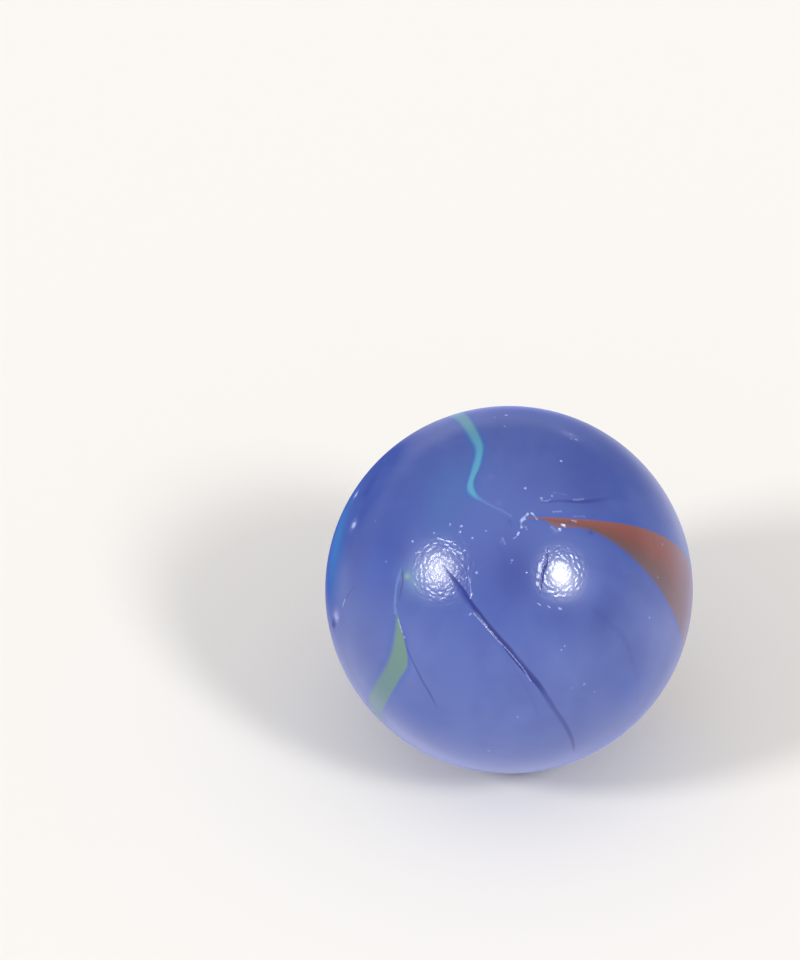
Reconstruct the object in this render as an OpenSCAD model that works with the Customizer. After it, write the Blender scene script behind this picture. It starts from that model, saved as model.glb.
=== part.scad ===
// Handmade glass marble.
//
// One ball of cloudy blue glass, with ribbons of coloured glass fused flush
// into it. The ribbons run from pole to pole. At the upper pole the glass was
// sheared off its rod and melted smooth again, which left a short broken scar.
// The skin also keeps the marks of hot glass that folded as it was rounded:
// one long crease, two fine ones, a crescent nick and a shell-shaped chip.
//
// The origin is the centre of the ball, and +Z is up as the ball lies.
// A place on the skin is given from the cut-off pole, as on a globe: the
// colatitude is the angle down from the pole, and the bearing is the angle
// round it, anticlockwise as seen from outside the pole. Lengths are in mm.

/* [Ball] */
// Diameter of the ball
ball_d = 16; // [12:0.5:25]
// Angle by which the cut-off pole leans from straight up
pole_lean = 26; // [0:1:60]
// Direction of the lean, round the upright from the front
pole_heading = 8; // [-45:1:45]

/* [Creases] */
// Length of the long crease along the skin
long_crease_len = 12.2; // [6:0.2:14]
// Width of the long crease at its middle
long_crease_w = 0.24; // [0.12:0.01:0.4]
// Depth of the long crease at its middle
long_crease_depth = 0.08; // [0.04:0.01:0.12]
// Length of the fine crease that starts at the green ribbon
green_crease_len = 4.2; // [2:0.1:6]
// Length of the wrinkle above the red ribbon
wrinkle_len = 3.6; // [2:0.1:5]
// Width of each fine crease at its middle
fine_crease_w = 0.1; // [0.06:0.01:0.2]
// Depth of each fine crease at its middle
fine_crease_depth = 0.03; // [0.02:0.005:0.05]

/* [Nick and chip] */
// Length of the crescent nick from horn to horn
nick_len = 1.4; // [0.8:0.1:2.4]
// Width of the crescent nick at its middle
nick_w = 0.14; // [0.08:0.01:0.25]
// Depth of the crescent nick at its middle
nick_depth = 0.05; // [0.02:0.005:0.1]
// Width of the shell-shaped chip
chip_w = 0.7; // [0.3:0.05:1.2]
// Depth of the shell-shaped chip
chip_depth = 0.07; // [0.03:0.01:0.12]

/* [Cut-off scar] */
// Width of each pit along the scar
scar_pit_w = 0.18; // [0.08:0.01:0.22]
// Depth of each pit along the scar
scar_pit_depth = 0.04; // [0.02:0.005:0.08]

/* [Hidden] */
ball_r = ball_d / 2;

// Colours of the glass.
blue_glass = [0.36, 0.42, 0.71];
red_glass = [0.62, 0.33, 0.29];
teal_glass = [0.33, 0.61, 0.70];
green_glass = [0.48, 0.63, 0.52];

// Each ribbon is [colatitude, bearing of one edge, bearing of the other]
// from its tip near the pole to its full width at the equator. Below the
// equator it runs back to the other pole in the same way.
red_ribbon = [
    [2, 4, 0], [10, -0.5, -11], [20, -1.5, -11.5], [30, -1.2, -15],
    [42, -0.7, -20], [60, -1.2, -25], [75, -2.5, -27], [90, -4, -28]
];
teal_ribbon = [
    [3, 156, 148], [11, 145.5, 142.5], [15, 145, 140.5], [17.5, 143.5, 136],
    [20, 139, 129], [23, 125.5, 116], [27, 115, 108.5], [31, 110, 104.5],
    [36, 108.5, 103], [45, 107, 102], [60, 106, 101], [90, 108, 102]
];
green_ribbon = [
    [49, -154.5, -155.5], [54, -144.5, -150.5], [60, -138.6, -147],
    [67, -138.6, -145.5], [78, -139.3, -146], [90, -140.5, -147]
];
ribbon_steps = 3; // straight pieces of edge between two stations
ribbon_lap = 0.02; // how far a ribbon melts into the glass beside it
past_rim = 1.1; // how far a plan reaches out, in ball radii

// Creases and nick: [colatitude, bearing, turn, bow] of the middle.
// The turn is the way the furrow runs, from straight down the meridian, and
// the bow is the tilt of its plane off the centre of the ball.
long_crease_place = [49, -92, 31, -18];
green_crease_place = [58.5, -136, 53, -22];
wrinkle_place = [21, 16, -6, 42];
nick_place = [17, -72, -36, 56];

// Chip and pits of the scar: [colatitude, bearing].
chip_place = [81, -172];
scar_places = [[4.3, 18], [2.6, 33], [0.9, -30], [3, -94], [5, -106], [6.5, -115], [8.6, -136]];

// Radius of a round tool that leaves a cut of width w and depth d.
function tool_r(w, d) = (w * w / 4 + d * d) / (2 * d);

// Catmull-Rom curve through a list of stations.
function curve_point(a, b, c, d, t) =
    (2 * b + (c - a) * t + (2 * a - 5 * b + 4 * c - d) * t * t
    + (3 * b - a - 3 * c + d) * t * t * t) / 2;
function smooth(s) = [
    for (i = [0:len(s) - 2], k = [0:ribbon_steps - 1])
        curve_point(s[max(i - 1, 0)], s[i], s[i + 1], s[min(i + 2, len(s) - 1)], k / ribbon_steps),
    s[len(s) - 1]
];

// Angle that a length takes up round an arc.
function arc_angle(length, r) = length / r * 180 / PI;

// A place on the skin as seen along the pole axis.
function plan(colat, bearing) = ball_r * sin(colat) * [cos(bearing), sin(bearing)];

// Turns the pole frame into the way the ball lies.
module in_pole_frame() {
    rotate([pole_lean, 0, pole_heading]) children();
}

// Puts +Z through a place on the skin, with +X down the meridian.
module on_skin(place) {
    in_pole_frame() rotate([0, place[0], place[1]]) children();
}

module ball() {
    sphere(d = ball_d, $fn = 180);
}

// Outline of a ribbon as seen along the pole axis, grown by the lap all round.
module ribbon_plan(stations, lap) {
    edge = smooth(stations);
    tip = stations[0];
    rim = stations[len(stations) - 1];
    function grow(colat) = arc_angle(lap, ball_r * sin(colat));
    polygon(concat(
        [plan(tip[0] - arc_angle(lap, ball_r), (tip[1] + tip[2]) / 2)],
        [for (s = edge) plan(s[0], s[1] + grow(s[0]))],
        [past_rim * plan(90, rim[1] + grow(90)), past_rim * plan(90, rim[2] - grow(90))],
        [for (i = [len(edge) - 1:-1:0]) plan(edge[i][0], edge[i][2] - grow(edge[i][0]))]
    ));
}

// A ribbon's plan drawn out along the pole axis, to past both poles.
module ribbon_bar(stations, lap = 0) {
    in_pole_frame() linear_extrude(height = past_rim * ball_d, center = true) ribbon_plan(stations, lap);
}

// The glass of a ribbon, through the ball from skin to skin, melted into the
// blue glass on both sides of its slot.
module ribbon(stations) {
    intersection() {
        ball();
        ribbon_bar(stations, ribbon_lap);
    }
}

// A round-bottomed furrow that is deepest at its middle and fades out at both
// ends, because the ring that cuts it is a little flatter than the skin.
module furrow(place, length, w, d) {
    bow = place[3];
    tool = tool_r(w, d);
    aside = (ball_r + tool - d) * sin(bow);
    middle = (ball_r + tool - d) * cos(bow);
    end = sqrt(pow(ball_r + tool, 2) - aside * aside);
    half_angle = arc_angle(length / 2, ball_r * cos(bow));
    shift = (end * end - middle * middle) / (2 * (end * cos(half_angle) - middle));
    on_skin(place) rotate([bow, 0, place[2]]) translate([0, aside, shift])
        rotate([90, 0, 0]) rotate_extrude($fn = 180)
            translate([middle - shift, 0]) circle(tool, $fn = 24);
}

// A shallow round pit.
module pit(place, w, d) {
    tool = tool_r(w, d);
    on_skin(place) translate([0, 0, ball_r + tool - d]) sphere(tool, $fn = 24);
}

module marks() {
    furrow(long_crease_place, long_crease_len, long_crease_w, long_crease_depth);
    furrow(green_crease_place, green_crease_len, fine_crease_w, fine_crease_depth);
    furrow(wrinkle_place, wrinkle_len, fine_crease_w, fine_crease_depth);
    furrow(nick_place, nick_len, nick_w, nick_depth);
    pit(chip_place, chip_w, chip_depth);
    for (place = scar_places) pit(place, scar_pit_w, scar_pit_depth);
}

// The blue glass, with a slot for each ribbon.
module blue_body() {
    difference() {
        ball();
        for (stations = [red_ribbon, teal_ribbon, green_ribbon]) ribbon_bar(stations);
    }
}

module marble() {
    difference() {
        union() {
            color(blue_glass) blue_body();
            color(red_glass) ribbon(red_ribbon);
            color(teal_glass) ribbon(teal_ribbon);
            color(green_glass) ribbon(green_ribbon);
        }
        color(blue_glass) marks();
    }
}

marble();
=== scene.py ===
"""Looks of a handmade glass marble: a ball of cloudy blue glass with ribbons of red, teal and
green glass fused into it, and the marks that its making left in the skin.

A place on the skin is given as on a globe whose upper pole is the cut-off pole of the glass rod:
the colatitude is the angle down from that pole, and the bearing is the angle round it,
anticlockwise as seen from outside the pole. Both are in degrees. Sizes are in mm, and Blender's
own lengths are in metres.
"""

from math import cos, degrees, radians, sin

import bmesh
import bpy
import numpy as np
from mathutils import Matrix, Vector, noise

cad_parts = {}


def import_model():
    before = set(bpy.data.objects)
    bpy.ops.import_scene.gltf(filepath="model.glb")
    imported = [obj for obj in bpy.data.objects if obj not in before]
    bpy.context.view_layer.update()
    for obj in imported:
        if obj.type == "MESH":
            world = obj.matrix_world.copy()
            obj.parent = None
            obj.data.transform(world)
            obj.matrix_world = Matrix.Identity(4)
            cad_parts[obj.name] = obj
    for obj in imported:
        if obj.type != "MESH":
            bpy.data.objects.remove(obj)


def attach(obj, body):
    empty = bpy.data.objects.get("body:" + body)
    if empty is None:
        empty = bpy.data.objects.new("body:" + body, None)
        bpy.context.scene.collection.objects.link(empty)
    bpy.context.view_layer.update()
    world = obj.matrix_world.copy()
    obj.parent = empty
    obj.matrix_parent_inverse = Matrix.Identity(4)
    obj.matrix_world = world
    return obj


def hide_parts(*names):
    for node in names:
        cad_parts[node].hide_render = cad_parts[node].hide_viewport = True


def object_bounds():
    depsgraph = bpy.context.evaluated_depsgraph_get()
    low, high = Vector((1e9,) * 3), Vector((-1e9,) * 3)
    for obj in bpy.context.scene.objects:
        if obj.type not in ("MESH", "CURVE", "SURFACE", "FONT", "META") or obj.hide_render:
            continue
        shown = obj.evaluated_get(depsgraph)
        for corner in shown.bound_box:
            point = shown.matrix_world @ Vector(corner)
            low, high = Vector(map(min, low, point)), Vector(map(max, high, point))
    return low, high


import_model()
cad_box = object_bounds()

MM = 0.001

# ---------------------------------------------------------------------------
# The ball, and how its cut-off pole leans.
# ---------------------------------------------------------------------------
BALL_R = min(cad_box[1] - cad_box[0]) / 2 / MM
POLE_LEAN = 26
POLE_HEADING = 8
GLOBE = Matrix.Rotation(radians(POLE_HEADING), 3, "Z") @ Matrix.Rotation(radians(POLE_LEAN), 3, "X")

# ---------------------------------------------------------------------------
# Ribbons: (colatitude, bearing of one edge, bearing of the other), from the tip to the equator.
# Below the equator each ribbon runs back to the other pole in the same way.
# ---------------------------------------------------------------------------
RED_RIBBON = [
    (2, 4, 0), (10, -0.5, -11), (20, -1.5, -11.5), (30, -1.2, -15),
    (42, -0.7, -20), (60, -1.2, -25), (75, -2.5, -27), (90, -4, -28),
]
TEAL_RIBBON = [
    (3, 156, 148), (11, 145.5, 142.5), (15, 145, 140.5), (17.5, 143.5, 136),
    (20, 139, 129), (23, 125.5, 116), (27, 115, 108.5), (31, 110, 104.5),
    (36, 108.5, 103), (45, 107, 102), (60, 106, 101), (90, 108, 102),
]
GREEN_RIBBON = [
    (49, -154.5, -155.5), (54, -144.5, -150.5), (60, -138.6, -147),
    (67, -138.6, -145.5), (78, -139.3, -146), (90, -140.5, -147),
]
RIBBON_STEPS = 3  # straight pieces of edge between two stations

# Blur of each ribbon's first and second edge, and the width of the fringe of bluer glass.
RED_BLUR = (0.10, 0.28)
TEAL_BLUR = (0.24, 0.20)
GREEN_BLUR = (0.14, 0.30)
FRINGE = 0.35
TEAL_FRINGE = 0.3
BLUR_OUTSIDE = 0.35  # share of a blurred edge that lies outside the ribbon

# Colatitudes between which a ribbon's glass changes.
RED_DULLS = (52, 68)
TEAL_GREYS = (25, 50)
TEAL_FADES_IN = (1.0, 15.0)
TEAL_FRINGE_STARTS = (13, 19)
TEAL_TIP_STARTS = (16.5, 13.0)  # on the way up to the pole
GREEN_DARKENS = (55, 80)

# ---------------------------------------------------------------------------
# Furrows: (colatitude, bearing, width to the left, width to the right, depth, darkness) along the
# deepest line, where the darkness is painted shade in the furrow. Left and right are as one walks
# along it, seen from outside.
# ---------------------------------------------------------------------------
LONG_CREASE = [
    (27.9, -157.2, 0.05, 0.05, 0.000, 0.5), (27.5, -151.5, 0.04, 0.14, 0.020, 0.7),
    (27.5, -144.5, 0.05, 0.20, 0.035, 0.8), (28.2, -135.5, 0.06, 0.32, 0.040, 0.9),
    (29.5, -129.5, 0.07, 0.30, 0.040, 0.9), (32.2, -121.0, 0.16, 0.09, 0.045, 1.0),
    (35.0, -114.0, 0.20, 0.08, 0.050, 1.0), (38.0, -107.5, 0.23, 0.08, 0.050, 1.0),
    (41.3, -102.0, 0.26, 0.08, 0.050, 1.0), (44.5, -98.0, 0.27, 0.07, 0.045, 0.9),
    (48.0, -94.0, 0.25, 0.07, 0.045, 1.0), (53.0, -89.0, 0.20, 0.09, 0.040, 1.0),
    (58.0, -85.6, 0.12, 0.16, 0.020, 0.65), (64.0, -82.7, 0.09, 0.18, 0.018, 0.6),
    (70.0, -80.2, 0.09, 0.18, 0.018, 0.65), (77.0, -78.2, 0.08, 0.16, 0.015, 0.75),
    (84.0, -77.1, 0.07, 0.12, 0.010, 0.75), (90.0, -76.7, 0.05, 0.05, 0.000, 0.4),
]
NICK = [
    (12.6, -55.5, 0.05, 0.05, 0.000, 0.3), (13.4, -58.6, 0.06, 0.07, 0.012, 0.7),
    (15.2, -64.1, 0.08, 0.08, 0.020, 0.9), (16.8, -69.5, 0.10, 0.09, 0.030, 1.0),
    (17.7, -73.3, 0.10, 0.09, 0.030, 1.0), (19.6, -76.6, 0.10, 0.08, 0.026, 1.0),
    (21.6, -79.1, 0.08, 0.07, 0.016, 0.9), (23.7, -81.0, 0.05, 0.05, 0.000, 0.3),
]
WRINKLE = [
    (8.7, 36.0, 0.05, 0.05, 0.000, 0.2), (11.3, 28.2, 0.07, 0.08, 0.008, 0.35),
    (14.3, 23.2, 0.08, 0.10, 0.012, 0.35), (18.0, 18.4, 0.08, 0.14, 0.020, 0.5),
    (21.6, 15.8, 0.08, 0.16, 0.024, 0.5), (24.8, 14.8, 0.08, 0.16, 0.020, 0.45),
    (29.8, 14.7, 0.10, 0.12, 0.008, 0.2), (36.2, 15.1, 0.05, 0.05, 0.000, 0.05),
]
GREEN_CREASE = [
    (53.5, -145.4, 0.04, 0.04, 0.000, 0.3), (55.3, -142.5, 0.05, 0.05, 0.010, 0.35),
    (58.2, -137.0, 0.07, 0.07, 0.016, 0.4), (60.0, -134.0, 0.08, 0.08, 0.020, 0.5),
    (62.2, -130.8, 0.08, 0.08, 0.020, 0.5), (64.1, -128.0, 0.08, 0.08, 0.020, 0.5),
    (66.5, -125.3, 0.07, 0.07, 0.014, 0.45), (69.4, -123.1, 0.04, 0.04, 0.000, 0.2),
]
THREAD_GROOVE = [
    (40.9, -168.0, 0.04, 0.04, 0.000, 0.2), (41.3, -166.7, 0.08, 0.08, 0.008, 0.5),
    (42.5, -163.5, 0.09, 0.09, 0.012, 0.5), (44.1, -160.7, 0.08, 0.08, 0.010, 0.4),
    (46.2, -157.6, 0.05, 0.05, 0.000, 0.1),
]
RIM_FOLD = [
    (61.5, -174.2, 0.04, 0.04, 0.000, 0.1), (64.0, -173.9, 0.05, 0.07, 0.010, 0.3),
    (67.0, -173.2, 0.05, 0.07, 0.010, 0.3), (69.5, -172.4, 0.04, 0.04, 0.000, 0.1),
]
FURROWS = [LONG_CREASE, NICK, WRINKLE, GREEN_CREASE, THREAD_GROOVE, RIM_FOLD]
FURROW_STEPS = 24  # samples between two stations
FURROW_END = 0.01  # a furrow's end reaches as far as its side walls, plus this
BROAD_WALL = 0.12  # width from which a right wall starts to look broad; from twice that, it does

# ---------------------------------------------------------------------------
# Strokes of broken skin and painted glints: (half width, paleness) and the (colatitude, bearing)
# places of each. Near the pole they are broken skin; further out many are painted glints of the
# lamps on the lips of the nick and the long crease, and on the ripples of chilled skin.
# ---------------------------------------------------------------------------
STROKES = [
    (0.060, 0.75, [(4.0, 23.8), (4.2, 18.0), (4.3, 14.0)]),
    (0.040, 0.35, [(4.4, 12.4), (4.7, 4.0), (5.0, -6.4)]),
    (0.065, 0.75, [(2.9, 31.5), (2.5, 29.5)]),
    (0.050, 0.60, [(1.9, 26.0), (1.5, 21.0)]),
    (0.085, 0.75, [(1.1, 0), (0.7, -30), (0.7, -50)]),
    (0.045, 0.35, [(1.0, -80), (2.2, -92)]),
    (0.055, 0.65, [(2.6, -88), (2.9, -92)]),
    (0.040, 0.25, [(3.0, -65.7), (3.9, -66.7)]),
    (0.060, 0.80, [(5.3, -106.8), (4.6, -103.5)]),
    (0.040, 0.30, [(6.6, -115.5), (6.0, -109.5)]),
    (0.050, 0.25, [(8.3, -138.9), (8.5, -135.7)]),
    (0.040, 0.15, [(8.7, -133.7), (9.4, -126.9)]),
    (0.080, 0.15, [(9.9, -20.3), (11.7, -24.5)]),
    (0.070, 0.90, [(12.9, -11.6), (13.8, -12.0)]),
    (0.045, 0.40, [(16.2, -4.3), (17.5, -4.8)]),
    (0.055, 0.22, [(10.7, 9.3), (13.3, 8.2)]),
    (0.050, 0.12, [(16.7, 0.7), (20.7, 0.8)]),
    (0.050, 0.20, [(18.7, 18.8), (22.1, 17.0)]),
    (0.040, 0.25, [(9.2, 38.8), (9.8, 34.2), (10.6, 31.5), (11.7, 30.8)]),
    (0.050, 0.08, [(14.3, 36.3), (17.2, 26.4)]),
    # Painted glints: the next three are the right lamp's glints on the lit lip of the nick, and the two
    # after them fainter ones.
    (0.080, 0.95, [(15.5, -73.2), (17.3, -76.2)]),
    (0.075, 0.90, [(18.3, -78.4), (18.9, -79.2)]),
    (0.070, 0.90, [(20.8, -81.2), (21.4, -81.8)]),
    (0.045, 0.40, [(14.0, -64.9), (14.9, -68.7)]),
    (0.045, 0.25, [(12.3, -56.2), (13.1, -59.6)]),
    # Painted glints: the next three are the right lamp's glints below its highlight.
    (0.050, 0.50, [(30.1, -71.9), (30.6, -70.9)]),
    (0.040, 0.22, [(28.3, -78.2), (28.8, -77.1)]),
    (0.040, 0.10, [(26.6, -84.3), (27.4, -82.5)]),
    # Painted glints: from here to the stroke at (35.1, -143.9) they are glints on the ripples round the
    # left highlight.
    (0.040, 0.45, [(26.3, -176.4), (24.5, -173.7)]),
    (0.045, 0.50, [(24.0, -172.8), (22.6, -170.1)]),
    (0.035, 0.40, [(22.1, -168.1), (21.5, -166.2)]),
    (0.040, 0.45, [(24.6, -170.4), (23.8, -168.6)]),
    (0.045, 0.50, [(23.9, -166.7), (22.4, -162.8)]),
    (0.045, 0.45, [(22.1, -160.9), (21.3, -157.4)]),
    (0.035, 0.30, [(28.3, -174.0), (27.0, -173.6)]),
    (0.040, 0.35, [(31.2, -173.8), (29.5, -174.8)]),
    (0.040, 0.35, [(34.4, -172.9), (32.9, -172.4)]),
    (0.035, 0.35, [(22.0, -154.5), (21.8, -152.0)]),
    (0.035, 0.40, [(23.1, -150.5), (23.2, -148.2)]),
    (0.035, 0.25, [(25.7, -143.4), (25.9, -140.8)]),
    (0.035, 0.30, [(32.6, -147.5), (30.4, -144.7)]),
    (0.035, 0.25, [(33.1, -144.1), (31.4, -142.0)]),
    (0.035, 0.20, [(35.1, -143.9), (33.0, -141.8)]),
    (0.035, 0.50, [(50.8, -151.9), (52.6, -147.5)]),
    (0.045, 0.45, [(69.2, -173.3), (72.2, -172.1)]),
    # Painted highlights: from here to the end, glints on the long crease and its lit lower lip.
    (0.045, 0.65, [(27.7, -130.3), (29.1, -129.5)]),
    (0.040, 0.45, [(33.2, -124.9), (33.8, -125.3)]),
    (0.030, 0.30, [(24.1, -139.2), (25.6, -134.9), (27.4, -131.2)]),
    (0.032, 0.45, [(32.8, -123.3), (34.0, -118.7), (35.7, -113.5), (38.6, -107.0), (41.6, -101.4),
                   (44.4, -97.7), (47.2, -94.6), (51.4, -91.5)]),
]
STROKE_STEPS = 12  # samples between two places
STROKE_WIDEN = 1.05  # a stroke's half width on average, as a share of the given one
EDGE_WANDER = 0.8  # how far the edges of strokes and specks wander, as a share of their width
STROKE_PIT = 0.2  # depth of broken skin, as a share of the stroke's half width

# ---------------------------------------------------------------------------
# Strokes of colour in the skin, given in the same way: smears of red glass near the pole, faint
# dark veins in the blue, the thin end of the teal ribbon, and the pale thread towards the green one.
# ---------------------------------------------------------------------------
RED_SMEARS = [
    (0.05, 0.5, [(2.5, 5), (5.0, 0), (8.0, -3)]),
    (0.10, 0.6, [(7.5, -4), (9.5, -8.5)]),
    (0.16, 0.7, [(9.5, -8.5), (11.3, -11.5), (13.8, -10.8)]),
    (0.10, 0.6, [(13.8, -12.3), (16.5, -10.8), (20.0, -9.8)]),
]
VEINS = [
    (0.10, 0.22, [(35.8, -113.8), (40.2, -106.1), (45.6, -99.3), (52.4, -94.1), (59.3, -90.7),
                  (65.2, -89.0)]),
    (0.16, 0.34, [(36.7, -53.7), (40.6, -52.5), (48.5, -49.6), (54.5, -49.6), (62.4, -50.7),
                  (69.3, -51.4), (78.8, -53.1)]),
    (0.12, 0.35, [(11.3, -134.3), (13.0, -121.2), (15.7, -114.5)]),
]
TEAL_THREAD = (
    0.055, 0.45,
    [
        (16.0, 142.5), (15.0, 143.4), (12.7, 144.7), (10.5, 145.5), (7.7, 145.2), (5.2, 146.9),
        (3.0, 154.8),
    ],
)
PALE_THREAD = (
    0.09, 0.7,
    [
        (41.3, -168.9), (42.9, -166.5), (44.5, -164.2), (46.0, -161.9), (48.7, -157.4), (50.2, -154.6),
    ],
)

# ---------------------------------------------------------------------------
# Specks: (colatitude, bearing, radius, paleness) of open bubbles and grit in the skin. Their
# paleness is partly painted glints of the lamps in the pits.
# ---------------------------------------------------------------------------
SPECKS = [
    (5.1, -6, 0.06, 0.40), (10.0, 41.5, 0.09, 0.55), (13.0, 33.6, 0.08, 0.40), (10.9, 74.5, 0.09, 0.70),
    (11.2, -168, 0.08, 0.30), (12.6, -19.7, 0.10, 0.75), (13.4, -108, 0.07, 0.40),
    (17.0, -89.8, 0.08, 0.65), (16.0, -166, 0.08, 0.45), (18.4, 178, 0.09, 0.50),
    (19.0, -176, 0.08, 0.45), (20.0, -158, 0.08, 0.45), (21.6, -136, 0.08, 0.55),
    (21.9, 175, 0.07, 0.30), (26.6, 52.5, 0.10, 0.85), (27.3, 179, 0.07, 0.25), (34.8, 180, 0.08, 0.50),
    (39.9, 89, 0.08, 0.50), (41.1, 54, 0.10, 0.60), (42.1, -75, 0.07, 0.35), (43.0, -77, 0.07, 0.35),
    (45.8, -176, 0.07, 0.25), (47.5, 92, 0.08, 0.40), (48.6, 87, 0.13, 0.95), (50.2, 164, 0.07, 0.30),
    (54.6, -35, 0.07, 0.40), (57.5, -71, 0.09, 0.30), (57.1, -76, 0.07, 0.25), (62.0, -68, 0.08, 0.25),
    (61.9, 162, 0.24, 0.90), (64.4, 134, 0.08, 0.35), (65.2, -96, 0.08, 0.20), (69.6, 148, 0.24, 0.95),
    (83.6, -104, 0.08, 0.35), (14.3, -108.5, 0.05, 0.20), (18.7, -78.6, 0.07, 0.55),
    (21.3, -81.4, 0.07, 0.55), (53.3, -145.5, 0.06, 0.60), (77.8, -170.9, 0.07, 0.70),
    (83.1, -170.0, 0.06, 0.50), (87.3, -171.4, 0.09, 0.35), (52.3, -4.8, 0.09, 0.30),
    (51.4, -19.4, 0.08, 0.45), (42.8, 57.5, 0.07, 0.45), (40.0, 56.0, 0.06, 0.35),
    (48.3, 87.0, 0.06, 0.40), (39.7, 88.7, 0.06, 0.35),
]
SPECK_SHRINK = 0.8  # a speck's radius on average, as a share of the given one
SPECK_GRAIN = 0.12  # size of the unevenness of a speck's rim
SPECK_PIT = 0.25  # depth of a speck, as a share of its average radius

# ---------------------------------------------------------------------------
# The shell-shaped chip: (colatitude, bearing, radius, depth).
# ---------------------------------------------------------------------------
CHIP = (82.5, -171.5, 0.33, 0.06)

# ---------------------------------------------------------------------------
# Soft patches: (colatitude, bearing, reach down the meridian, reach across it, strength). Each name
# is a colour or finish of the glass, except the painted light: the glow round the highlights and
# glints, the glow at the rims low on the ball, and the painted shade in the chip.
# ---------------------------------------------------------------------------
PATCHES = {
    "indigo": [
        (16.9, -102, 1.5, 1.3, 0.95), (24.2, -147, 0.9, 0.5, 0.5), (23.0, 25, 1.0, 1.5, 0.5),
        (40.5, -51, 0.9, 1.1, 0.6), (54.5, 177, 1.2, 1.2, 1.0), (41, 41, 1.6, 2.0, 0.3),
        (41.6, -179, 0.8, 0.8, 0.4), (31, -70, 0.7, 0.9, 0.5), (49.5, -165, 1.0, 0.6, 0.4),
        (38.9, -54.1, 0.7, 0.6, 0.15), (60.5, 149.2, 0.3, 0.3, 0.7), (60.2, 144, 0.3, 0.3, 0.5),
        (13.5, 65, 1.2, 0.9, 0.25),
    ],
    "cornflower": [
        (69.5, -55, 1.3, 0.9, 0.8), (76.8, -130, 0.9, 1.6, 0.7), (47, -175, 1.2, 1.2, 0.3),
        (50, 5, 1.8, 0.7, 0.3), (61, -22, 1.5, 0.5, 0.3), (54, -177, 1.5, 2.0, 0.5),
    ],
    "milk": [
        (50.5, -75, 1.3, 1.2, 0.9), (58.9, -37, 1.6, 0.8, 0.8), (55.9, -138.7, 1.4, 0.8, 0.6),
        (34.8, -178.6, 0.5, 0.7, 0.3), (68, -177.5, 0.9, 0.5, 0.7), (65, 178, 0.9, 0.5, 0.6),
        (30, -52, 0.6, 0.8, 0.4), (68, -98, 2.5, 4.0, 0.45), (34.9, 10, 1.2, 0.4, 0.3),
        (30.9, -95, 1.1, 0.9, 0.3),
    ],
    # Painted light: a pale glow at the rims low on the ball, where the floor lights the glass.
    "pale_rim": [
        (98, -134, 1.0, 2.5, 0.5), (66, -29, 1.5, 1.2, 0.15), (100, -97, 1.0, 5.0, 0.15),
    ],
    "mist": [
        (24.0, 136, 1.3, 1.4, 0.7), (25.2, 169.7, 0.8, 1.2, 0.4),
    ],
    "rim_cyan": [
        (74, 162, 0.8, 2.0, 0.65), (80, 173, 0.8, 1.2, 0.2),
    ],
    "dull": [
        (67, 147, 3.0, 3.4, 1.5), (81, 178, 1.8, 2.2, 0.7), (52, 85, 2.0, 3.8, 0.6),
        (46, 29, 2.3, 4.0, 0.75),
    ],
    # Painted highlight: a milky glow round the left and the right lamp highlights.
    "frost": [
        (29.2, -156.8, 0.62, 0.62, 0.64), (32.0, -161.0, 1.0, 1.0, 0.11),
        (21.4, -60.0, 0.62, 0.50, 0.95), (24.0, -56.0, 1.0, 1.0, 0.10),
    ],
    "cyan": [
        (38.6, -162, 0.5, 0.6, 0.7),
    ],
    "green": [
        (39.6, -164.4, 0.13, 0.13, 0.9),
    ],
    "chill": [
        (28.5, -155.0, 1.4, 1.4, 1.0),
    ],
    # Painted glow round glints, among them the lit side of the chip.
    "haze": [
        (79.0, -172.0, 0.40, 0.22, 1.0), (69.6, 148, 0.2, 0.3, 0.3), (61.9, 162, 0.3, 0.3, 0.3),
        (41.5, 58, 0.25, 0.4, 0.25), (8.0, 133.4, 0.12, 0.12, 0.1), (17.1, 116, 0.15, 0.15, 0.1),
        (8.6, -134.9, 0.10, 0.10, 0.12), (11.0, -23.5, 0.14, 0.14, 0.15),
    ],
    # The last plum patch is painted shade in the chip's hollow.
    "plum": [
        (22.1, -12.6, 0.10, 0.10, 0.6), (2.9, -165, 0.07, 0.14, 0.4), (14.9, -7.0, 0.10, 0.06, 0.25),
        (84.8, -171.8, 0.36, 0.20, 1.0),
    ],
}

# ---------------------------------------------------------------------------
# Chilled skin: rings of ripples where the hot glass touched something cold. Each is (colatitude,
# bearing, reach, radius of the calm middle or 0 for none, height).
# ---------------------------------------------------------------------------
RIPPLES = [(28.8, -155.5, 1.70, 0.0, 0.026), (20.6, -59.0, 1.35, 0.36, 0.022)]
RIPPLE_PITCH = 0.11  # size of the grain, and of the rings on the way out
RIPPLE_TURNS = 5.0  # how finely the rings are broken up along their way round
RINGS_FROM = 0.6  # distance from the centre at which the rings have their full strength
CALM_RISE = 0.45  # height of the ripples in a calm middle, as a share
CALM_EDGE = 0.3  # how far outside a calm middle the ripples have their full height

# ---------------------------------------------------------------------------
# Mesh: faces are split in four where they lie within the first of these distances of a mark, then
# within the second, and so on. Ripples and veins are split on the first few levels only.
# ---------------------------------------------------------------------------
BALL_LEVELS = 6  # subdivisions of the plain ball
FINE_MESH = (0.45, 0.22, 0.10, 0.04)
RIPPLE_LEVELS = 3
VEIN_LEVELS = 2
ZONE_INSET = 0.1  # the zone that is split under the ripples is smaller than their reach by this
BATCH = 4000  # points that are compared with the marks at a time

# ---------------------------------------------------------------------------
# Colours: the blue glass and its soft patches.
# ---------------------------------------------------------------------------
BLUE = (0.077, 0.122, 0.412)
INDIGO = (0.044, 0.070, 0.315)
CORNFLOWER = (0.045, 0.100, 0.44)
MILK = (0.108, 0.160, 0.475)
MIST = (0.062, 0.140, 0.41)
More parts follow.
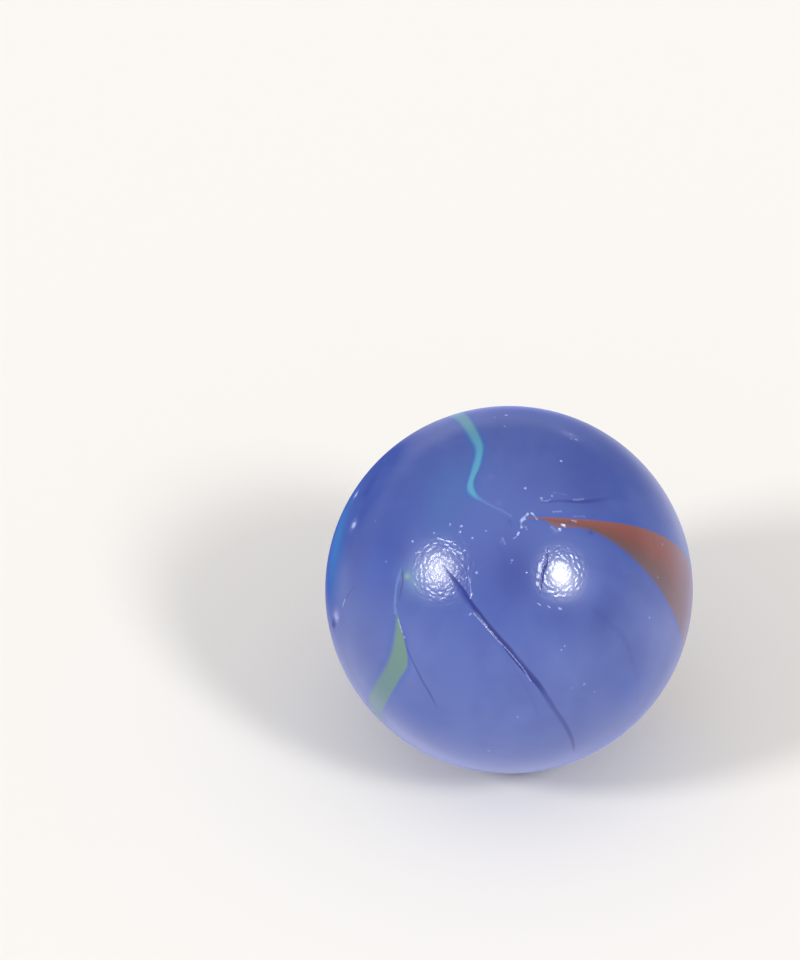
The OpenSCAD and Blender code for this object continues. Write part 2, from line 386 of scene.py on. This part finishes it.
# Painted light at the rims low on the ball.
RIM_GLOW = (0.30, 0.32, 0.60)
RIM_CYAN = (0.05, 0.25, 0.60)

# ---------------------------------------------------------------------------
# Colours: the ribbons. The stops of the red run from its first edge to its second.
# ---------------------------------------------------------------------------
RED_STOPS = [
    (0.0, (0.27, 0.095, 0.080)), (0.35, (0.255, 0.075, 0.058)), (0.7, (0.165, 0.075, 0.065)),
    (1.0, (0.13, 0.085, 0.13)),
]
RED_LOW = (0.22, 0.10, 0.11)
RED_SMOKE = (0.24, 0.090, 0.085)
TEAL_FIRST_SIDE = (0.09, 0.32, 0.58)
TEAL_SECOND_SIDE = (0.09, 0.37, 0.48)
TEAL_LOW = (0.11, 0.33, 0.38)
TEAL_TIP = (0.12, 0.22, 0.53)
TEAL_EDGE = (0.04, 0.13, 0.45)
GREEN_HIGH = (0.13, 0.25, 0.21)
GREEN_LOW = (0.09, 0.21, 0.22)

# ---------------------------------------------------------------------------
# Colours: the marks in the skin with their painted shade and glow, and the sheen of its two finishes.
# ---------------------------------------------------------------------------
# Painted shade in the furrows and the chip's hollow, and the colour of the plum patches.
DEEP_BLUE_AND_SHADE = (0.010, 0.022, 0.22)
THREAD_BLUE = (0.13, 0.24, 0.54)
# Painted glow round glints.
GLINT_GLOW_BLUE = (0.35, 0.38, 0.75)
CYAN = (0.12, 0.24, 0.45)
SPOT_GREEN = (0.22, 0.36, 0.28)
# Painted highlight glow round the lamp highlights.
HIGHLIGHT_GLOW = (0.62, 0.66, 0.88)
# Pale broken skin, and painted glints of the lamps.
BROKEN_SKIN_AND_GLINT = (0.55, 0.63, 1.0)
GLOSSY_SHEEN = (0.30, 0.38, 1.0, 1.0)
WORN_SHEEN = (0.10, 0.20, 1.0, 1.0)

# ---------------------------------------------------------------------------
# Texture of the glass and its skin. The sizes of streaks, clouds and flow are in ball radii.
# ---------------------------------------------------------------------------
STREAK_SIZE = 0.16
CLOUD_SIZE = 0.35
FLOW_SIZE = 0.05  # streaks in the red glass
SWIRL_LEVELS = (0.40, 0.62)  # cloudiness between which a swirl sets in
SWIRL_STARTS = (0.15, 0.5)  # distance from the pole axis, in ball radii, over which it does
CHALK_SIZE = 0.05  # grain of broken skin
PEEL_SIZE = 0.2  # waviness of the melted skin
PEEL_HEIGHT = 0.002

# ---------------------------------------------------------------------------
# Studio: the floor, the lamps as (direction, strength, width in degrees), and the greys of the
# room in front of the ball and behind it, from level or below (0) to straight up (1). The two
# lamps on the right lie one over the other and make one tall light.
# ---------------------------------------------------------------------------
BACKDROP = (0.965, 0.939, 0.888)
FLOOR_REACH = 4.0  # metres from the middle of the floor to its sides
LAMPS = {
    "left_lamp": ((-0.708, -0.380, 0.596), 1.2, 13),
    "right_lamp_upper": ((0.523, -0.470, 0.711), 0.56, 11),
    "right_lamp_lower": ((0.528, -0.550, 0.647), 0.56, 11),
}
ROOM_IN_FRONT = [
    (0.0, BACKDROP), (0.3, (0.48, 0.48, 0.49)), (0.6, (0.47, 0.47, 0.48)), (1.0, (0.75, 0.75, 0.76)),
]
ROOM_BEHIND = [
    (0.0, BACKDROP), (0.06, BACKDROP), (0.25, (0.2, 0.2, 0.21)), (0.5, (0.25, 0.25, 0.26)),
    (0.75, (0.5, 0.5, 0.51)), (1.0, (0.75, 0.75, 0.76)),
]

# ---------------------------------------------------------------------------
# Camera: the ball stands right of the middle of the frame and below it.
# ---------------------------------------------------------------------------
CAMERA_ELEVATION = 42  # degrees above the floor
CAMERA_DISTANCE = 400  # from the centre of the ball
AIM_RIGHT = -4.74  # the place aimed at, from the centre of the ball
AIM_UP = 4.77
LENS = 344.9
SENSOR = 36

# ---------------------------------------------------------------------------
# Sockets of a Mix node that mixes colours.
# ---------------------------------------------------------------------------
MIX_FACTOR = 0
MIX_FIRST = 6
MIX_SECOND = 7
MIX_RESULT = 2


def skin(colat, bearing):
    """A place on the skin, as a unit vector from the centre of the ball."""
    c = radians(colat)
    b = radians(bearing)
    return GLOBE @ Vector((sin(c) * cos(b), sin(c) * sin(b), cos(c)))


def skin_axes(colat, bearing):
    """A place on the skin, with the ways down the meridian and across it."""
    place = skin(colat, bearing)
    down = (skin(colat + 1, bearing) - place).normalized()
    return place, down, place.cross(down)


def smooth(stations, steps):
    """Catmull-Rom curve through a list of stations."""
    s = np.array(stations, float)
    rows = []
    for i in range(len(s) - 1):
        a, b, c, d = s[max(i - 1, 0)], s[i], s[i + 1], s[min(i + 2, len(s) - 1)]
        for k in range(steps):
            t = k / steps
            rows.append(
                (2 * b + (c - a) * t + (2 * a - 5 * b + 4 * c - d) * t**2
                 + (3 * b - a - 3 * c + d) * t**3) / 2
            )
    rows.append(s[-1])
    return np.array(rows)


def nearest_of(points, places):
    """Index of the place nearest each point, and the straight distance to it, in mm."""
    nearest = np.empty(len(points), int)
    away = np.empty(len(points))
    for start in range(0, len(points), BATCH):
        part = slice(start, start + BATCH)
        close = points[part] @ places.T
        nearest[part] = close.argmax(axis=1)
        away[part] = np.sqrt(np.maximum(2 - 2 * close.max(axis=1), 0)) * BALL_R
    return nearest, away


def grain(points, near, size):
    """Unevenness between about -1 and 1, at the points that are near."""
    value = np.zeros(len(points))
    for i in np.flatnonzero(near):
        value[i] = noise.noise(Vector(points[i]) * (BALL_R / size))
    return value


def unit(value):
    """A value held between 0 and 1."""
    return np.clip(value, 0, 1)


def lay_over(marks, name, value):
    """Lays a mark over those that are there. Where they overlap, the stronger one stays."""
    marks[name] = np.maximum(marks[name], value)


class Furrow:
    """A furrow in the skin, sampled closely along its deepest line."""

    def __init__(self, stations):
        rows = smooth([(*skin(s[0], s[1]), *s[2:]) for s in stations], FURROW_STEPS)
        self.places = rows[:, :3] / np.linalg.norm(rows[:, :3], axis=1, keepdims=True)
        self.left, self.right, self.depth, self.dark = rows[:, 3:].T
        along = np.gradient(self.places, axis=0)
        self.across = np.cross(along, self.places)
        self.across /= np.linalg.norm(self.across, axis=1, keepdims=True)
        self.reach = np.maximum(self.left, self.right)

    def gap(self, points):
        """How far outside the furrow each point lies, in mm."""
        nearest, away = nearest_of(points, self.places)
        return away - self.reach[nearest]

    def press(self, points, marks):
        """Sinks the skin, with walls between straight and rounded, and paints shade into it.

        The painted shade has a crisp edge, but on a broad right wall it grows in two slow steps.
        """
        nearest, away = nearest_of(points, self.places)
        aside = np.einsum("ij,ij->i", points - self.places[nearest], self.across[nearest]) * BALL_R
        width = np.where(aside > 0, self.right[nearest], self.left[nearest])
        share = unit(1 - np.abs(aside) / np.maximum(width, 1e-6))
        share *= away < self.reach[nearest] + FURROW_END
        wall = (1 - np.cos(np.pi * share)) / 2 * 0.5 + share * 0.5
        lay_over(marks, "sink", self.depth[nearest] * wall)
        broad = unit((width - BROAD_WALL) / BROAD_WALL) * (aside > 0)
        crisp = unit(share * 2.2)
        slow = unit(share * 3) * 0.45 + unit(share * 2.5 - 1) * 0.55
        # Painted shade in the furrow.
        lay_over(marks, "dark", self.dark[nearest] * (crisp + (slow - crisp) * broad))


class Stroke:
    """A stroke with round ends and an uneven edge: of broken skin or a painted glint, or of colour where
    pit is 0.
    """

    def __init__(self, half_width, strength, places, mark="pale", pit=STROKE_PIT):
        rows = smooth([tuple(skin(*place)) for place in places], STROKE_STEPS)
        self.places = rows / np.linalg.norm(rows, axis=1, keepdims=True)
        self.half_width = half_width
        self.strength = strength
        self.mark = mark
        self.pit = pit

    def gap(self, points):
        """How far outside the stroke each point lies, in mm."""
        return nearest_of(points, self.places)[1] - self.half_width

    def press(self, points, marks):
        """Marks the skin and sinks it, most along the middle of the stroke."""
        away = nearest_of(points, self.places)[1]
        uneven = grain(points, away < self.half_width * 2, self.half_width * 2.2)
        share = unit(1 - (away / (self.half_width * (STROKE_WIDEN + EDGE_WANDER * uneven))) ** 2)
        lay_over(marks, self.mark, self.strength * share)
        lay_over(marks, "sink", share**2 * self.half_width * self.pit)


class Specks:
    """All the small round pits."""

    def __init__(self, specks):
        self.places = np.array([skin(s[0], s[1]) for s in specks])
        self.radius = np.array([s[2] for s in specks])
        self.pale = np.array([s[3] for s in specks])

    def gap(self, points):
        """How far outside the nearest speck each point lies, in mm."""
        nearest, away = nearest_of(points, self.places)
        return away - self.radius[nearest]

    def press(self, points, marks):
        """Sinks the specks and pales them, partly as painted glints, each with an uneven rim."""
        nearest, away = nearest_of(points, self.places)
        radius = self.radius[nearest] * SPECK_SHRINK
        uneven = grain(points, away < radius * 1.6, SPECK_GRAIN)
        share = unit(1 - (away / (radius * (1 + EDGE_WANDER * uneven))) ** 2)
        lay_over(marks, "sink", share**2 * radius * SPECK_PIT)
        lay_over(marks, "pale", share * self.pale[nearest])


class Zone:
    """A round zone of the skin that needs a finer mesh."""

    def __init__(self, colat, bearing, radius):
        self.place = np.array([skin(colat, bearing)])
        self.radius = radius

    def gap(self, points):
        """How far outside the zone each point lies, in mm."""
        return nearest_of(points, self.place)[1] - self.radius


class Chip(Zone):
    """A shell-shaped chip: a round dent with painted shade at its middle."""

    def __init__(self, colat, bearing, radius, depth):
        super().__init__(colat, bearing, radius)
        self.depth = depth

    def press(self, points, marks):
        """Sinks the dent and paints shade into its middle."""
        share = unit(1 - (nearest_of(points, self.place)[1] / self.radius) ** 2)
        lay_over(marks, "sink", self.depth * share)
        lay_over(marks, "dark", 0.8 * unit((share - 0.5) * 3))


def ripple_wave(x, y, r):
    """The wave of the ripples at a place, from -1 to 1: grain in the middle, broken rings round it.

    The 7 and the 3 only choose which parts of the noise are used.
    """
    round_way = Vector((x / r * RIPPLE_TURNS + 7, y / r * RIPPLE_TURNS, r / RIPPLE_PITCH))
    rings = noise.noise(round_way)
    cells = noise.noise(Vector((x, y, 3)) / RIPPLE_PITCH)
    share = min(1, r / RINGS_FROM)
    wave = rings * share * 0.8 + cells * (1 - 0.5 * share)
    return max(-1, min(1, wave))


def press_ripples(points, marks):
    """Sinks the skin into ripples, which fade at their reach, in a calm middle and in furrows."""
    for colat, bearing, reach, calm, height in RIPPLES:
        centre, down, across = skin_axes(colat, bearing)
        away = nearest_of(points, np.array([centre]))[1]
        for i in np.flatnonzero(away < reach):
            x = Vector(points[i]).dot(down) * BALL_R
            y = Vector(points[i]).dot(across) * BALL_R
            r = max(away[i], 1e-6)
            rising = 1 if calm == 0 else min(1, max(CALM_RISE, (r - calm) / CALM_EDGE))
            fading = min(1, 1.6 * (1 - (r / reach) ** 2))
            rising *= 1 - marks["dark"][i]
            marks["sink"][i] += height * rising * fading * (0.5 + 0.5 * ripple_wave(x, y, r))


def patch_strength(points, patches):
    """Strength of a set of soft patches at each point, from 0 to 1."""
    total = np.zeros(len(points))
    for colat, bearing, down_reach, across_reach, strength in patches:
        centre, down, across = skin_axes(colat, bearing)
        x = points @ np.array(down) * BALL_R / down_reach
        y = points @ np.array(across) * BALL_R / across_reach
        same_side = unit(points @ np.array(centre) * 4)
        total += strength * np.exp(-(x**2 + y**2)) * same_side
    return unit(total)


def unit_points(bm):
    """The place of each vertex, as a unit vector from the centre of the ball."""
    return np.array([v.co.normalized() for v in bm.verts])


def refine(bm, marks, reach):
    """Splits the faces that lie within reach of a mark in four, and rounds them onto the ball."""
    bm.verts.ensure_lookup_table()
    bm.verts.index_update()
    points = unit_points(bm)
    near = np.zeros(len(points), bool)
    for mark in marks:
        near |= mark.gap(points) < reach
    faces = {f for f in bm.faces if any(near[v.index] for v in f.verts)}
    edges = [e for e in bm.edges if any(f in faces for f in e.link_faces)]
    bmesh.ops.subdivide_edges(bm, edges=edges, cuts=1, use_grid_fill=True)
    bmesh.ops.triangulate(bm, faces=[f for f in bm.faces if len(f.verts) > 3])
    for v in bm.verts:
        v.co = v.co.normalized() * BALL_R * MM


def fine_ball(marks, veins):
    """A ball whose mesh is fine round the marks, finer the nearer they are."""
    zones = [Zone(colat, bearing, reach - ZONE_INSET) for colat, bearing, reach, _, _ in RIPPLES]
    bm = bmesh.new()
    bmesh.ops.create_icosphere(bm, subdivisions=BALL_LEVELS, radius=BALL_R * MM)
    for level, reach in enumerate(FINE_MESH):
        near = list(marks)
        if level < RIPPLE_LEVELS:
            near += zones
        if level < VEIN_LEVELS:
            near += veins
        refine(bm, near, reach)
    return bm


def skin_marks():
    """The marks that need the finest mesh, and the veins, which need less."""
    marks = [Furrow(stations) for stations in FURROWS]
    marks += [Stroke(*stroke) for stroke in STROKES]
    marks += [Stroke(*thread, mark="thread", pit=0.0) for thread in (PALE_THREAD, TEAL_THREAD)]
    marks += [Stroke(*smear, mark="smear", pit=0.0) for smear in RED_SMEARS]
    marks += [Specks(SPECKS), Chip(*CHIP)]
    veins = [Stroke(*vein, mark="vein", pit=0.0) for vein in VEINS]
    return marks, veins


def marble_mesh():
    """The ball with its marks sunk into the skin, and an attribute for each kind of mark or patch."""
    marks, veins = skin_marks()
    bm = fine_ball(marks, veins)
    points = unit_points(bm)
    values = {name: np.zeros(len(points)) for name in ("sink", "dark", "pale", "thread", "smear", "vein")}
    for mark in marks + veins:
        mark.press(points, values)
    press_ripples(points, values)
    for v, point, sink in zip(bm.verts, points, values.pop("sink")):
        v.co = Vector(point) * (BALL_R - sink) * MM
    for f in bm.faces:
        f.smooth = True
    mesh = bpy.data.meshes.new("marble_glass")
    bm.to_mesh(mesh)
    bm.free()
    for name, patches in PATCHES.items():
        values[name] = patch_strength(points, patches)
    for name, value in values.items():
        data = mesh.attributes.new(name, "FLOAT", "POINT").data
        data.foreach_set("value", value.astype(np.float32))
    return mesh


class Field:
    """A socket of a material. Sums on it are written as Python expressions."""

    def __init__(self, tree, socket=None):
        self.tree = tree
        self.socket = socket

    def node(self, kind, settings=None, sockets=None, output=0):
        """Adds a node: its settings first, then the values or links of its sockets."""
        node = self.tree.nodes.new(kind)
        for name, value in (settings or {}).items():
            if name == "stops":
                set_stops(node.color_ramp, value)
            elif name == "points":
                set_points(node.mapping, value)
            else:
                setattr(node, name, value)
        for name, value in (sockets or {}).items():
            if isinstance(value, Field):
                self.tree.links.new(value.socket, node.inputs[name])
            else:
                node.inputs[name].default_value = value
        return Field(self.tree, node.outputs[output])

    def maths(self, operation, *terms):
        """Adds a Math node."""
        return self.node("ShaderNodeMath", {"operation": operation}, dict(enumerate(terms)))

    def __add__(self, other):
        return self.maths("ADD", self, other)

    def __radd__(self, other):
        return self.maths("ADD", other, self)

    def __sub__(self, other):
        return self.maths("SUBTRACT", self, other)

    def __rsub__(self, other):
        return self.maths("SUBTRACT", other, self)

    def __mul__(self, other):
        return self.maths("MULTIPLY", self, other)

    def __rmul__(self, other):
        return self.maths("MULTIPLY", other, self)

    def __truediv__(self, other):
        return self.maths("DIVIDE", self, other)

    def __rtruediv__(self, other):
        return self.maths("DIVIDE", other, self)


def set_stops(ramp, stops):
    """Gives a colour ramp its (position, colour) stops."""
    while len(ramp.elements) > 1:
        ramp.elements.remove(ramp.elements[-1])
    ramp.elements[0].position = stops[0][0]
    ramp.elements[0].color = (*stops[0][1], 1)
    for position, colour in stops[1:]:
        ramp.elements.new(position).color = (*colour, 1)


def set_points(mapping, points):
    """Draws a curve straight from each (x, y) point to the next."""
    mapping.use_clip = False
    line = mapping.curves[0]
    while len(line.points) < len(points):
        line.points.new(0.5, 0.5)
    for point, place in zip(line.points, points):
        point.location = place
        point.handle_type = "VECTOR"
    mapping.update()


def mix(factor, first, second):
    """A colour that goes from the first to the second as the factor goes from 0 to 1."""
    colours = [c if isinstance(c, Field) else (*c, 1) for c in (first, second)]
    sockets = {MIX_FACTOR: factor, MIX_FIRST: colours[0], MIX_SECOND: colours[1]}
    return factor.node("ShaderNodeMix", {"data_type": "RGBA"}, sockets, MIX_RESULT)


def rise(value, low, high):
    """0 on the low side, 1 on the high side, with a smooth slope between them."""
    return value.node(
        "ShaderNodeMapRange", {"interpolation_type": "SMOOTHSTEP"},
        {"Value": value, "From Min": low, "From Max": high},
    )


def attribute(start, name):
    """The strength of a kind of mark or patch."""
    return start.node("ShaderNodeAttribute", {"attribute_name": name}, output="Fac")


def cloud(start, place, size, offset=0.0):
    """Cloudiness between 0 and 1, in clouds of about the given size. The offset gives other clouds."""
    return start.node(
        "ShaderNodeTexNoise", {"noise_dimensions": "4D"},
        {"Vector": place, "W": offset, "Scale": 1 / size, "Detail": 1.0},
    )


def show(shader, output):
    """Leads a shader to the output of its material or world."""
    end = shader.tree.nodes.new(output)
    shader.tree.links.new(shader.socket, end.inputs["Surface"])


class Globe:
    """Every place on the skin: in ball radii, in the frame of the poles, and as on a globe."""

    def __init__(self, start):
        place = start.node("ShaderNodeTexCoord", output="Object")
        self.place = start.node("ShaderNodeMapping", {"vector_type": "TEXTURE"}, {
            "Vector": place, "Rotation": (radians(POLE_LEAN), 0, radians(POLE_HEADING)),
            "Scale": (BALL_R * MM,) * 3,
        })
        x, y, z = (start.node("ShaderNodeSeparateXYZ", None, {0: self.place}, axis) for axis in "XYZ")
        self.from_axis = start.maths("SQRT", x * x + y * y)
        self.bearing = start.maths("ARCTAN2", y, x) * degrees(1)
        colat = start.maths("ARCTAN2", self.from_axis, z) * degrees(1)
        self.nearer_pole = start.maths("MINIMUM", colat, 180 - colat)
        # The way round the axis, and the colatitude in radians: clouds on it narrow towards the poles.
        self.unrolled = start.node("ShaderNodeCombineXYZ", None, {
            "X": x / self.from_axis, "Y": y / self.from_axis, "Z": colat * radians(1),
        })


class Ribbon:
    """How far each place lies inside a ribbon's two edges, in mm."""

    def __init__(self, globe, stations):
        rows = smooth(stations, RIBBON_STEPS)
        share = globe.nearer_pole / 90
        scale = globe.from_axis * (BALL_R * radians(1))
        curves = [[(row[0] / 90, row[side]) for row in rows] for side in (1, 2)]
        first, second = (
            share.node("ShaderNodeFloatCurve", {"points": curve}, {"Value": share}) for curve in curves
        )
        self.first = (first - globe.bearing) * scale
        self.second = (globe.bearing - second) * scale
        self.tip = rise(globe.nearer_pole, stations[0][0] - 0.5, stations[0][0] + 2)
        self.share = self.first / (self.first + self.second)
        self.inside = self.first.maths("MINIMUM", self.first, self.second)

    def mask(self, first_blur, second_blur):
        """1 inside the ribbon, with each edge blurred over its own width."""
        return soft_edge(self.first, first_blur) * soft_edge(self.second, second_blur) * self.tip

    def fringe(self, reach):
        """1 at the ribbon, fading to 0 at the given distance outside it."""
        return rise(self.inside, -reach, 0.0) * self.tip


def soft_edge(inside, blur):
    """0 outside an edge and 1 inside it, with part of the blur on each side."""
    return rise(inside, -BLUR_OUTSIDE * blur, (1 - BLUR_OUTSIDE) * blur)


def blue_glass(start, globe):
    """Cloudy blue, with swirls that leave the poles free, soft patches and veins."""
    colour = mix(attribute(start, "milk"), BLUE, MILK)
    streaks = cloud(start, globe.unrolled, STREAK_SIZE)
    wide = cloud(start, globe.place, CLOUD_SIZE, 3.0)
    swirl = rise(streaks * 0.5 + wide * 0.5, *SWIRL_LEVELS) * rise(globe.from_axis, *SWIRL_STARTS)
    colour = mix(swirl * 0.25, colour, INDIGO)
    colour = mix(attribute(start, "indigo"), colour, INDIGO)
    colour = mix(attribute(start, "vein"), colour, INDIGO)
    colour = mix(attribute(start, "mist"), colour, MIST)
    # Painted light at the rims low on the ball.
    colour = mix(attribute(start, "pale_rim"), colour, RIM_GLOW)
    colour = mix(attribute(start, "cornflower"), colour, CORNFLOWER)
    return mix(attribute(start, "rim_cyan"), colour, RIM_CYAN)


def red_glass(start, globe, red):
    """Orange red at the first edge to plum at the second, in streaks, and duller further down."""
    flow = cloud(start, globe.unrolled, FLOW_SIZE, 5.0)
    across = red.share + (flow - 0.5) * 0.3
    colour = start.node("ShaderNodeValToRGB", {"stops": RED_STOPS}, {0: across})
    return mix(rise(globe.nearer_pole, *RED_DULLS) * 0.7, colour, RED_LOW)


def teal_glass(globe, teal):
    """Bluer at the first edge than at the second, greyer further down, and blue at the thin tip."""
    colour = mix(teal.share, TEAL_FIRST_SIDE, TEAL_SECOND_SIDE)
    colour = mix(rise(globe.nearer_pole, *TEAL_GREYS), colour, TEAL_LOW)
    return mix(rise(globe.nearer_pole, *TEAL_TIP_STARTS), colour, TEAL_TIP)


def green_glass(globe):
    """Grey green, darker and bluer further down."""
    return mix(rise(globe.nearer_pole, *GREEN_DARKENS), GREEN_HIGH, GREEN_LOW)


def ribbons(start, globe, colour):
    """The three ribbons, each in a fringe of bluer glass, and the smears of red near the pole."""
    red = Ribbon(globe, RED_RIBBON)
    teal = Ribbon(globe, TEAL_RIBBON)
    green = Ribbon(globe, GREEN_RIBBON)
    for ribbon in (red, green):
        colour = mix(ribbon.fringe(FRINGE) * 0.5, colour, CORNFLOWER)
    teal_fringe = teal.fringe(TEAL_FRINGE) * rise(globe.nearer_pole, *TEAL_FRINGE_STARTS)
    colour = mix(teal_fringe * 0.8, colour, TEAL_EDGE)
    colour = mix(rise(attribute(start, "smear"), 0.05, 0.65), colour, RED_SMOKE)
    colour = mix(red.mask(*RED_BLUR), colour, red_glass(start, globe, red))
    faint_tip = rise(globe.nearer_pole, *TEAL_FADES_IN) * 0.8 + 0.2
    colour = mix(teal.mask(*TEAL_BLUR) * faint_tip, colour, teal_glass(globe, teal))
    return mix(green.mask(*GREEN_BLUR), colour, green_glass(globe))


def marks_in_skin(start, globe, colour):
    """The colours of the marks, over those of the glass, with painted shade and painted glow among them.
    Broken skin and painted glints are chalky, and on top.
    """
    colour = mix(attribute(start, "cyan"), colour, CYAN)
    colour = mix(attribute(start, "green"), colour, SPOT_GREEN)
    # The plum patches, the last of them painted shade in the chip.
    colour = mix(attribute(start, "plum"), colour, DEEP_BLUE_AND_SHADE)
    # Painted highlight glow.
    colour = mix(attribute(start, "frost"), colour, HIGHLIGHT_GLOW)
    colour = mix(attribute(start, "thread"), colour, THREAD_BLUE)
    # Painted shade in the furrows and the chip.
    colour = mix(attribute(start, "dark"), colour, DEEP_BLUE_AND_SHADE)
    # Painted glow round glints.
    colour = mix(attribute(start, "haze"), colour, GLINT_GLOW_BLUE)
    chalk = cloud(start, globe.place, CHALK_SIZE / BALL_R, 9.0)
    # Pale broken skin, specks and painted glints of the lamps.
    return mix(attribute(start, "pale") * (0.55 + 0.9 * chalk), colour, BROKEN_SKIN_AND_GLINT)


def glossy_skin(start, globe, colour):
    """Melted, slightly wavy skin. Its clear gloss is weaker where the glass was chilled."""
    peel = cloud(start, globe.place, PEEL_SIZE / BALL_R)
    bump = start.node("ShaderNodeBump", None, {
        "Height": peel, "Distance": PEEL_HEIGHT * MM, "Strength": 1.0,
    })
    return start.node("ShaderNodeBsdfPrincipled", None, {
        "Base Color": colour, "Roughness": 0.30, "IOR": 1.5, "Specular IOR Level": 0.35,
        "Normal": bump, "Coat Weight": 0.6 - 0.38 * attribute(start, "chill"), "Coat Roughness": 0.1,
        "Sheen Weight": 0.55, "Sheen Roughness": 0.4, "Sheen Tint": GLOSSY_SHEEN,
    })


def worn_skin(start, colour):
    """Skin whose gloss has worn off."""
    return start.node("ShaderNodeBsdfPrincipled", None, {
        "Base Color": colour, "Roughness": 1.0, "Specular IOR Level": 0.0,
        "Sheen Weight": 0.4, "Sheen Roughness": 0.4, "Sheen Tint": WORN_SHEEN,
    })


def marble_material():
    """The ribboned glass, glossy with soft worn patches."""
    material = bpy.data.materials.new("ribboned_glass")
    material.use_nodes = True
    material.node_tree.nodes.clear()
    start = Field(material.node_tree)
    globe = Globe(start)
    colour = blue_glass(start, globe)
    colour = ribbons(start, globe, colour)
    colour = marks_in_skin(start, globe, colour)
    glossy = glossy_skin(start, globe, colour)
    worn = worn_skin(start, colour)
    shader = start.node("ShaderNodeMixShader", None, {0: attribute(start, "dull"), 1: glossy, 2: worn})
    show(shader, "ShaderNodeOutputMaterial")
    return material


def floor():
    """A plain pale floor that touches the ball's lowest point."""
    bm = bmesh.new()
    bmesh.ops.create_grid(bm, x_segments=1, y_segments=1, size=FLOOR_REACH)
    bmesh.ops.translate(bm, verts=bm.verts, vec=(0, 0, -BALL_R * MM))
    mesh = bpy.data.meshes.new("floor")
    bm.to_mesh(mesh)
    bm.free()
    floor_object = bpy.data.objects.new("floor", mesh)
    bpy.context.scene.collection.objects.link(floor_object)
    material = bpy.data.materials.new("floor")
    material.use_nodes = True
    shader = material.node_tree.nodes["Principled BSDF"]
    shader.inputs["Base Color"].default_value = (*BACKDROP, 1)
    shader.inputs["Roughness"].default_value = 0.9
    shader.inputs["Specular IOR Level"].default_value = 0.0
    mesh.materials.append(material)


def lamp(name, direction, strength, width):
    """A soft round lamp, far off in the given direction."""
    data = bpy.data.lights.new(name, "SUN")
    data.energy = strength
    data.angle = radians(width)
    lamp_object = bpy.data.objects.new(name, data)
    lamp_object.rotation_euler = Vector(direction).to_track_quat("Z", "Y").to_euler()
    bpy.context.scene.collection.objects.link(lamp_object)


def world():
    """A grey room round the ball, darker behind it than in front, and pale where its floor is."""
    surroundings = bpy.data.worlds.new("studio")
    surroundings.use_nodes = True
    surroundings.node_tree.nodes.clear()
    start = Field(surroundings.node_tree)
    way = start.node("ShaderNodeTexCoord", output="Generated")
    up = start.node("ShaderNodeSeparateXYZ", None, {0: way}, "Z")
    beyond = start.node("ShaderNodeSeparateXYZ", None, {0: way}, "Y")
    in_front = start.node("ShaderNodeValToRGB", {"stops": ROOM_IN_FRONT}, {0: up})
    behind = start.node("ShaderNodeValToRGB", {"stops": ROOM_BEHIND}, {0: up})
    colour = mix(rise(beyond, -0.2, 0.6), in_front, behind)
    light = start.node("ShaderNodeBackground", None, {"Color": colour, "Strength": 1.0})
    show(light, "ShaderNodeOutputWorld")
    bpy.context.scene.world = surroundings


def camera():
    """A long lens that looks down on the ball from in front."""
    elevation = radians(CAMERA_ELEVATION)
    back = Vector((0, -cos(elevation), sin(elevation)))
    right = Vector((1, 0, 0))
    up = Vector((0, sin(elevation), cos(elevation)))
    aim = right * AIM_RIGHT * MM + up * AIM_UP * MM
    data = bpy.data.cameras.new("camera")
    data.sensor_width = SENSOR
    data.lens = LENS
    data.clip_start = 0.01
    data.clip_end = 20
    eye = bpy.data.objects.new("camera", data)
    eye.location = back * (CAMERA_DISTANCE * MM)
    look = (aim - eye.location).normalized()
    side = look.cross(up).normalized()
    eye.rotation_euler = Matrix((side, side.cross(look), -look)).transposed().to_euler()
    bpy.context.scene.collection.objects.link(eye)
    bpy.context.scene.camera = eye


marble = bpy.data.objects.new("marble_glass", marble_mesh())
bpy.context.scene.collection.objects.link(marble)
marble.data.materials.append(marble_material())
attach(marble, "root")
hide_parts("marble")

floor()
for lamp_name, lamp_values in LAMPS.items():
    lamp(lamp_name, *lamp_values)
world()
camera()
bpy.context.scene.view_settings.view_transform = "Standard"
